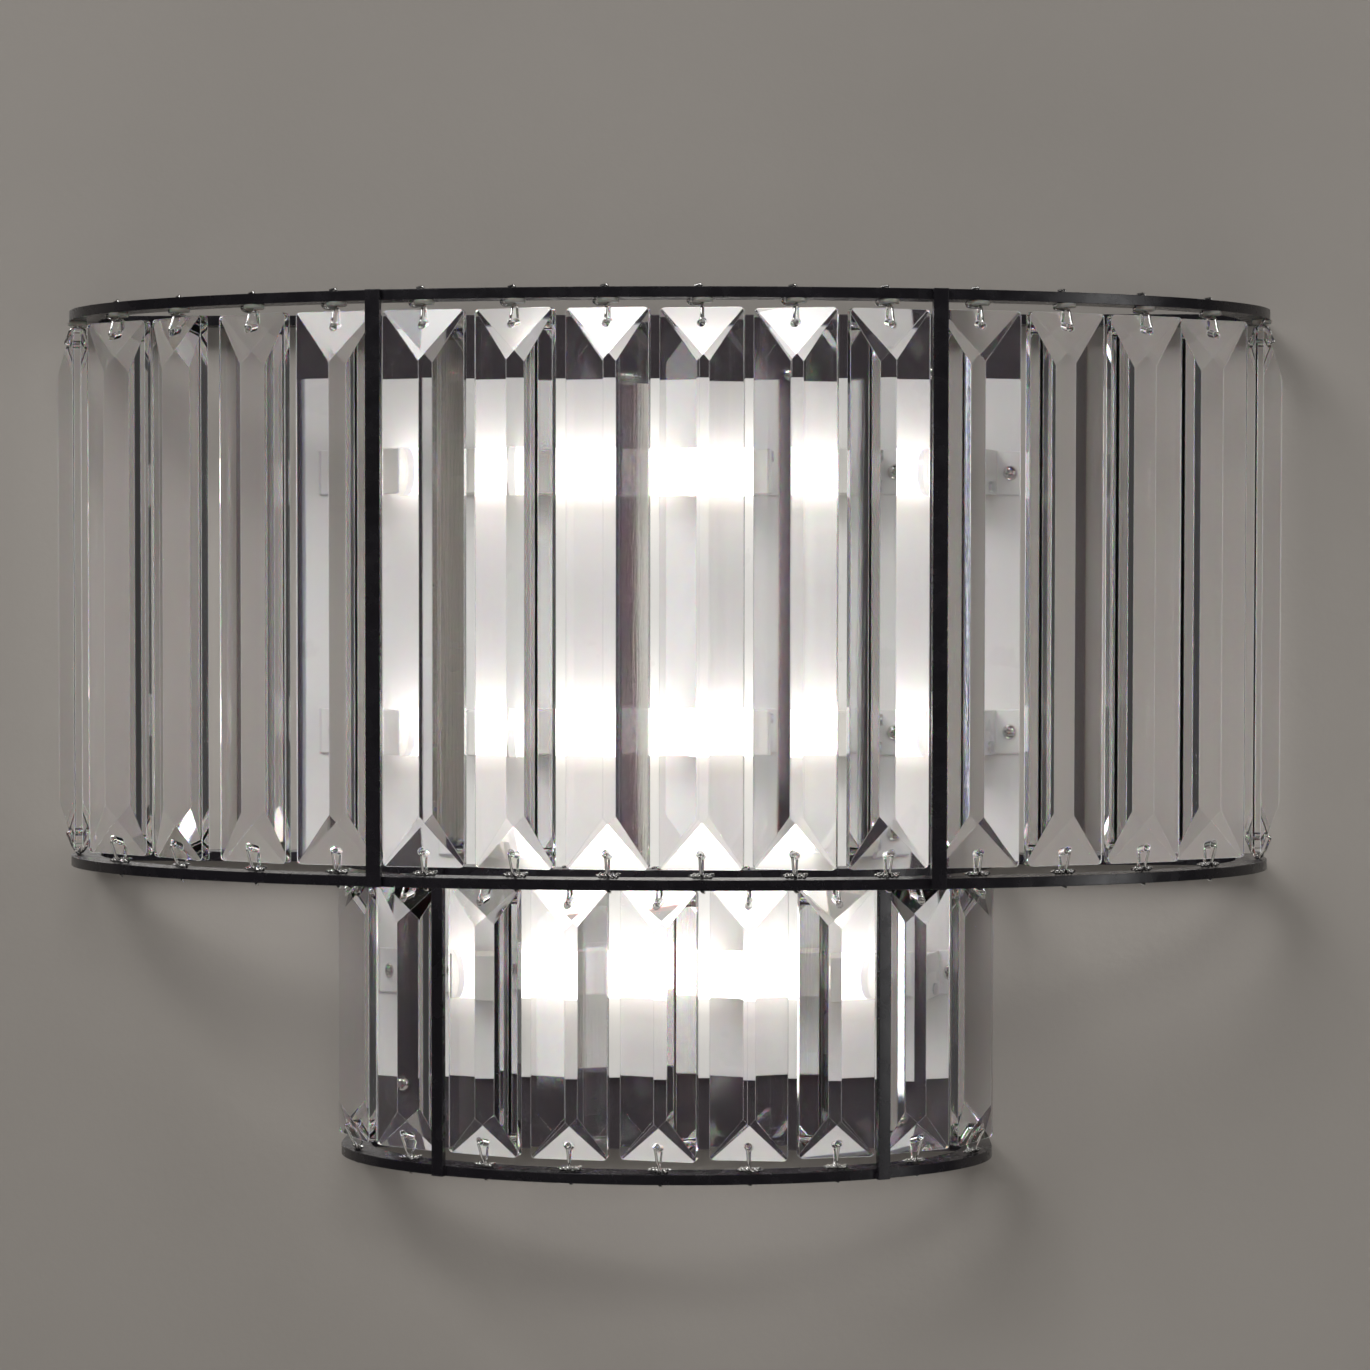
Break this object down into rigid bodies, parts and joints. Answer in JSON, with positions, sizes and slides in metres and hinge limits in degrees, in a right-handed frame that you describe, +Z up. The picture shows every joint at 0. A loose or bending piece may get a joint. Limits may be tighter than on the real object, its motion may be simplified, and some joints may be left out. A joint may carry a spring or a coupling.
{
  "type": "crystal wall sconce",
  "caption": "Two-tier wall light: half-round black steel rings hung with clear glass prisms in front of tubular lamps, a white panel and a dark back plate.",
  "frame": {"origin": "centre of the wall mount's two screw holes, on the wall plane", "axes": "+Y into the wall, -Y into the room, +Z up, X along the wall"},
  "size_m": [0.4124, 0.1182, 0.29],
  "materials": {
    "zinc_steel": "zinc-plated, satin",
    "pearl_plate": "dark pearl enamel, semi-mirror",
    "screw_steel": "bright nickel plate",
    "white_enamel": "white gloss enamel",
    "black_enamel": "gloss black enamel",
    "hook_wire": "bright drawn wire",
    "spacer_plastic": "translucent soft plastic",
    "holder_ceramic": "unglazed white",
    "contact_brass": "bright",
    "rivet_aluminium": "plain",
    "block_plastic": "moulded, natural",
    "lead_sleeve": "glass-fibre sleeve, white",
    "earth_sleeve": "green-yellow sleeve",
    "cap_ceramic": "white",
    "spring_steel": "drawn spring wire",
    "prism_glass": "clear, cut and polished",
    "lamp_glass": "frosted, lit"
  },
  "bodies": {
    "frame": {"wall_bracket": "zinc_steel", "back_plate": "pearl_plate", "plate_screws": "screw_steel", "lamp_panel": "white_enamel", "bracket_screws": "screw_steel", "upper_top_ring": "black_enamel", "upper_bottom_ring": "black_enamel", "lower_top_ring": "black_enamel", "lower_bottom_ring": "black_enamel", "upper_posts": "black_enamel", "lower_posts": "black_enamel", "top_hooks": "hook_wire", "bottom_ties": "hook_wire", "hook_spacers": "spacer_plastic", "fixed_holders": "holder_ceramic", "sprung_holders": "holder_ceramic", "fixed_contacts": "contact_brass", "holder_brackets": "white_enamel", "holder_rivets": "rivet_aluminium", "terminal_block": "block_plastic", "lamp_leads": "lead_sleeve", "earth_screw": "contact_brass", "earth_lead": "earth_sleeve", "upper_lamp_spring": "spring_steel", "middle_lamp_spring": "spring_steel", "lower_lamp_spring": "spring_steel"},
    "upper_prism_01": {"upper_prism_01": "prism_glass"},
    "upper_prism_02": {"upper_prism_02": "prism_glass"},
    "upper_prism_03": {"upper_prism_03": "prism_glass"},
    "upper_prism_04": {"upper_prism_04": "prism_glass"},
    "upper_prism_05": {"upper_prism_05": "prism_glass"},
    "upper_prism_06": {"upper_prism_06": "prism_glass"},
    "upper_prism_07": {"upper_prism_07": "prism_glass"},
    "upper_prism_08": {"upper_prism_08": "prism_glass"},
    "upper_prism_09": {"upper_prism_09": "prism_glass"},
    "upper_prism_10": {"upper_prism_10": "prism_glass"},
    "upper_prism_11": {"upper_prism_11": "prism_glass"},
    "upper_prism_12": {"upper_prism_12": "prism_glass"},
    "upper_prism_13": {"upper_prism_13": "prism_glass"},
    "upper_prism_14": {"upper_prism_14": "prism_glass"},
    "upper_prism_15": {"upper_prism_15": "prism_glass"},
    "upper_prism_16": {"upper_prism_16": "prism_glass"},
    "lower_prism_01": {"lower_prism_01": "prism_glass"},
    "lower_prism_02": {"lower_prism_02": "prism_glass"},
    "lower_prism_03": {"lower_prism_03": "prism_glass"},
    "lower_prism_04": {"lower_prism_04": "prism_glass"},
    "lower_prism_05": {"lower_prism_05": "prism_glass"},
    "lower_prism_06": {"lower_prism_06": "prism_glass"},
    "lower_prism_07": {"lower_prism_07": "prism_glass"},
    "lower_prism_08": {"lower_prism_08": "prism_glass"},
    "lower_prism_09": {"lower_prism_09": "prism_glass"},
    "upper_lamp": {"upper_lamp_tube": "lamp_glass", "upper_lamp_caps": "cap_ceramic", "upper_lamp_pin": "contact_brass"},
    "middle_lamp": {"middle_lamp_tube": "lamp_glass", "middle_lamp_caps": "cap_ceramic", "middle_lamp_pin": "contact_brass"},
    "lower_lamp": {"lower_lamp_tube": "lamp_glass", "lower_lamp_caps": "cap_ceramic", "lower_lamp_pin": "contact_brass"}
  },
  "joints": [
    {"name": "upper_prism_01_turn", "type": "hinge", "parent": "frame", "child": "upper_prism_01", "pos_m": [-0.19938, -0.02671, 0.1366], "axis": [0, 0, 1], "range_deg": [-8, 8]},
    {"name": "upper_prism_02_turn", "type": "hinge", "parent": "frame", "child": "upper_prism_02", "pos_m": [-0.1782, -0.06054, 0.1366], "axis": [0, 0, 1], "range_deg": [-8, 8]},
    {"name": "upper_prism_03_turn", "type": "hinge", "parent": "frame", "child": "upper_prism_03", "pos_m": [-0.15482, -0.07717, 0.1366], "axis": [0, 0, 1], "range_deg": [-8, 8]},
    {"name": "upper_prism_04_turn", "type": "hinge", "parent": "frame", "child": "upper_prism_04", "pos_m": [-0.12863, -0.08954, 0.1366], "axis": [0, 0, 1], "range_deg": [-8, 8]},
    {"name": "upper_prism_05_turn", "type": "hinge", "parent": "frame", "child": "upper_prism_05", "pos_m": [-0.10101, -0.09863, 0.1366], "axis": [0, 0, 1], "range_deg": [-2, 8]},
    {"name": "upper_prism_06_turn", "type": "hinge", "parent": "frame", "child": "upper_prism_06", "pos_m": [-0.0726, -0.10506, 0.1366], "axis": [0, 0, 1], "range_deg": [-8, 2]},
    {"name": "upper_prism_07_turn", "type": "hinge", "parent": "frame", "child": "upper_prism_07", "pos_m": [-0.04373, -0.10918, 0.1366], "axis": [0, 0, 1], "range_deg": [-8, 8]},
    {"name": "upper_prism_08_turn", "type": "hinge", "parent": "frame", "child": "upper_prism_08", "pos_m": [-0.01463, -0.1112, 0.1366], "axis": [0, 0, 1], "range_deg": [-8, 8]},
    {"name": "upper_prism_09_turn", "type": "hinge", "parent": "frame", "child": "upper_prism_09", "pos_m": [0.01463, -0.1112, 0.1366], "axis": [0, 0, 1], "range_deg": [-8, 8]},
    {"name": "upper_prism_10_turn", "type": "hinge", "parent": "frame", "child": "upper_prism_10", "pos_m": [0.04373, -0.10918, 0.1366], "axis": [0, 0, 1], "range_deg": [-8, 8]},
    {"name": "upper_prism_11_turn", "type": "hinge", "parent": "frame", "child": "upper_prism_11", "pos_m": [0.0726, -0.10506, 0.1366], "axis": [0, 0, 1], "range_deg": [-8, 8]},
    {"name": "upper_prism_12_turn", "type": "hinge", "parent": "frame", "child": "upper_prism_12", "pos_m": [0.10101, -0.09863, 0.1366], "axis": [0, 0, 1], "range_deg": [-8, 2]},
    {"name": "upper_prism_13_turn", "type": "hinge", "parent": "frame", "child": "upper_prism_13", "pos_m": [0.12863, -0.08954, 0.1366], "axis": [0, 0, 1], "range_deg": [-8, 8]},
    {"name": "upper_prism_14_turn", "type": "hinge", "parent": "frame", "child": "upper_prism_14", "pos_m": [0.15482, -0.07717, 0.1366], "axis": [0, 0, 1], "range_deg": [-8, 8]},
    {"name": "upper_prism_15_turn", "type": "hinge", "parent": "frame", "child": "upper_prism_15", "pos_m": [0.1782, -0.06054, 0.1366], "axis": [0, 0, 1], "range_deg": [-8, 8]},
    {"name": "upper_prism_16_turn", "type": "hinge", "parent": "frame", "child": "upper_prism_16", "pos_m": [0.19938, -0.02671, 0.1366], "axis": [0, 0, 1], "range_deg": [-8, 8]},
    {"name": "lower_prism_01_turn", "type": "hinge", "parent": "frame", "child": "lower_prism_01", "pos_m": [-0.10323, -0.03558, -0.0474], "axis": [0, 0, 1], "range_deg": [-8, 8]},
    {"name": "lower_prism_02_turn", "type": "hinge", "parent": "frame", "child": "lower_prism_02", "pos_m": [-0.08329, -0.05523, -0.0474], "axis": [0, 0, 1], "range_deg": [-3, 8]},
    {"name": "lower_prism_03_turn", "type": "hinge", "parent": "frame", "child": "lower_prism_03", "pos_m": [-0.05726, -0.06749, -0.0474], "axis": [0, 0, 1], "range_deg": [-8, 8]},
    {"name": "lower_prism_04_turn", "type": "hinge", "parent": "frame", "child": "lower_prism_04", "pos_m": [-0.02904, -0.0742, -0.0474], "axis": [0, 0, 1], "range_deg": [-8, 8]},
    {"name": "lower_prism_05_turn", "type": "hinge", "parent": "frame", "child": "lower_prism_05", "pos_m": [0, -0.07635, -0.0474], "axis": [0, 0, 1], "range_deg": [-8, 8]},
    {"name": "lower_prism_06_turn", "type": "hinge", "parent": "frame", "child": "lower_prism_06", "pos_m": [0.02904, -0.0742, -0.0474], "axis": [0, 0, 1], "range_deg": [-8, 8]},
    {"name": "lower_prism_07_turn", "type": "hinge", "parent": "frame", "child": "lower_prism_07", "pos_m": [0.05726, -0.06749, -0.0474], "axis": [0, 0, 1], "range_deg": [-8, 8]},
    {"name": "lower_prism_08_turn", "type": "hinge", "parent": "frame", "child": "lower_prism_08", "pos_m": [0.08329, -0.05523, -0.0474], "axis": [0, 0, 1], "range_deg": [-8, 3]},
    {"name": "lower_prism_09_turn", "type": "hinge", "parent": "frame", "child": "lower_prism_09", "pos_m": [0.10323, -0.03558, -0.0474], "axis": [0, 0, 1], "range_deg": [-8, 8]},
    {"name": "upper_lamp_slide", "type": "slide", "parent": "frame", "child": "upper_lamp", "axis": [1, 0, 0], "range_m": [0, 0.0035], "stiffness_N_per_m": 1500, "springref_m": -0.004, "deforming": ["upper_lamp_spring"]},
    {"name": "middle_lamp_slide", "type": "slide", "parent": "frame", "child": "middle_lamp", "axis": [1, 0, 0], "range_m": [0, 0.0035], "stiffness_N_per_m": 1500, "springref_m": -0.004, "deforming": ["middle_lamp_spring"]},
    {"name": "lower_lamp_slide", "type": "slide", "parent": "frame", "child": "lower_lamp", "axis": [1, 0, 0], "range_m": [0, 0.0035], "stiffness_N_per_m": 1500, "springref_m": -0.004, "deforming": ["lower_lamp_spring"]}
  ]
}
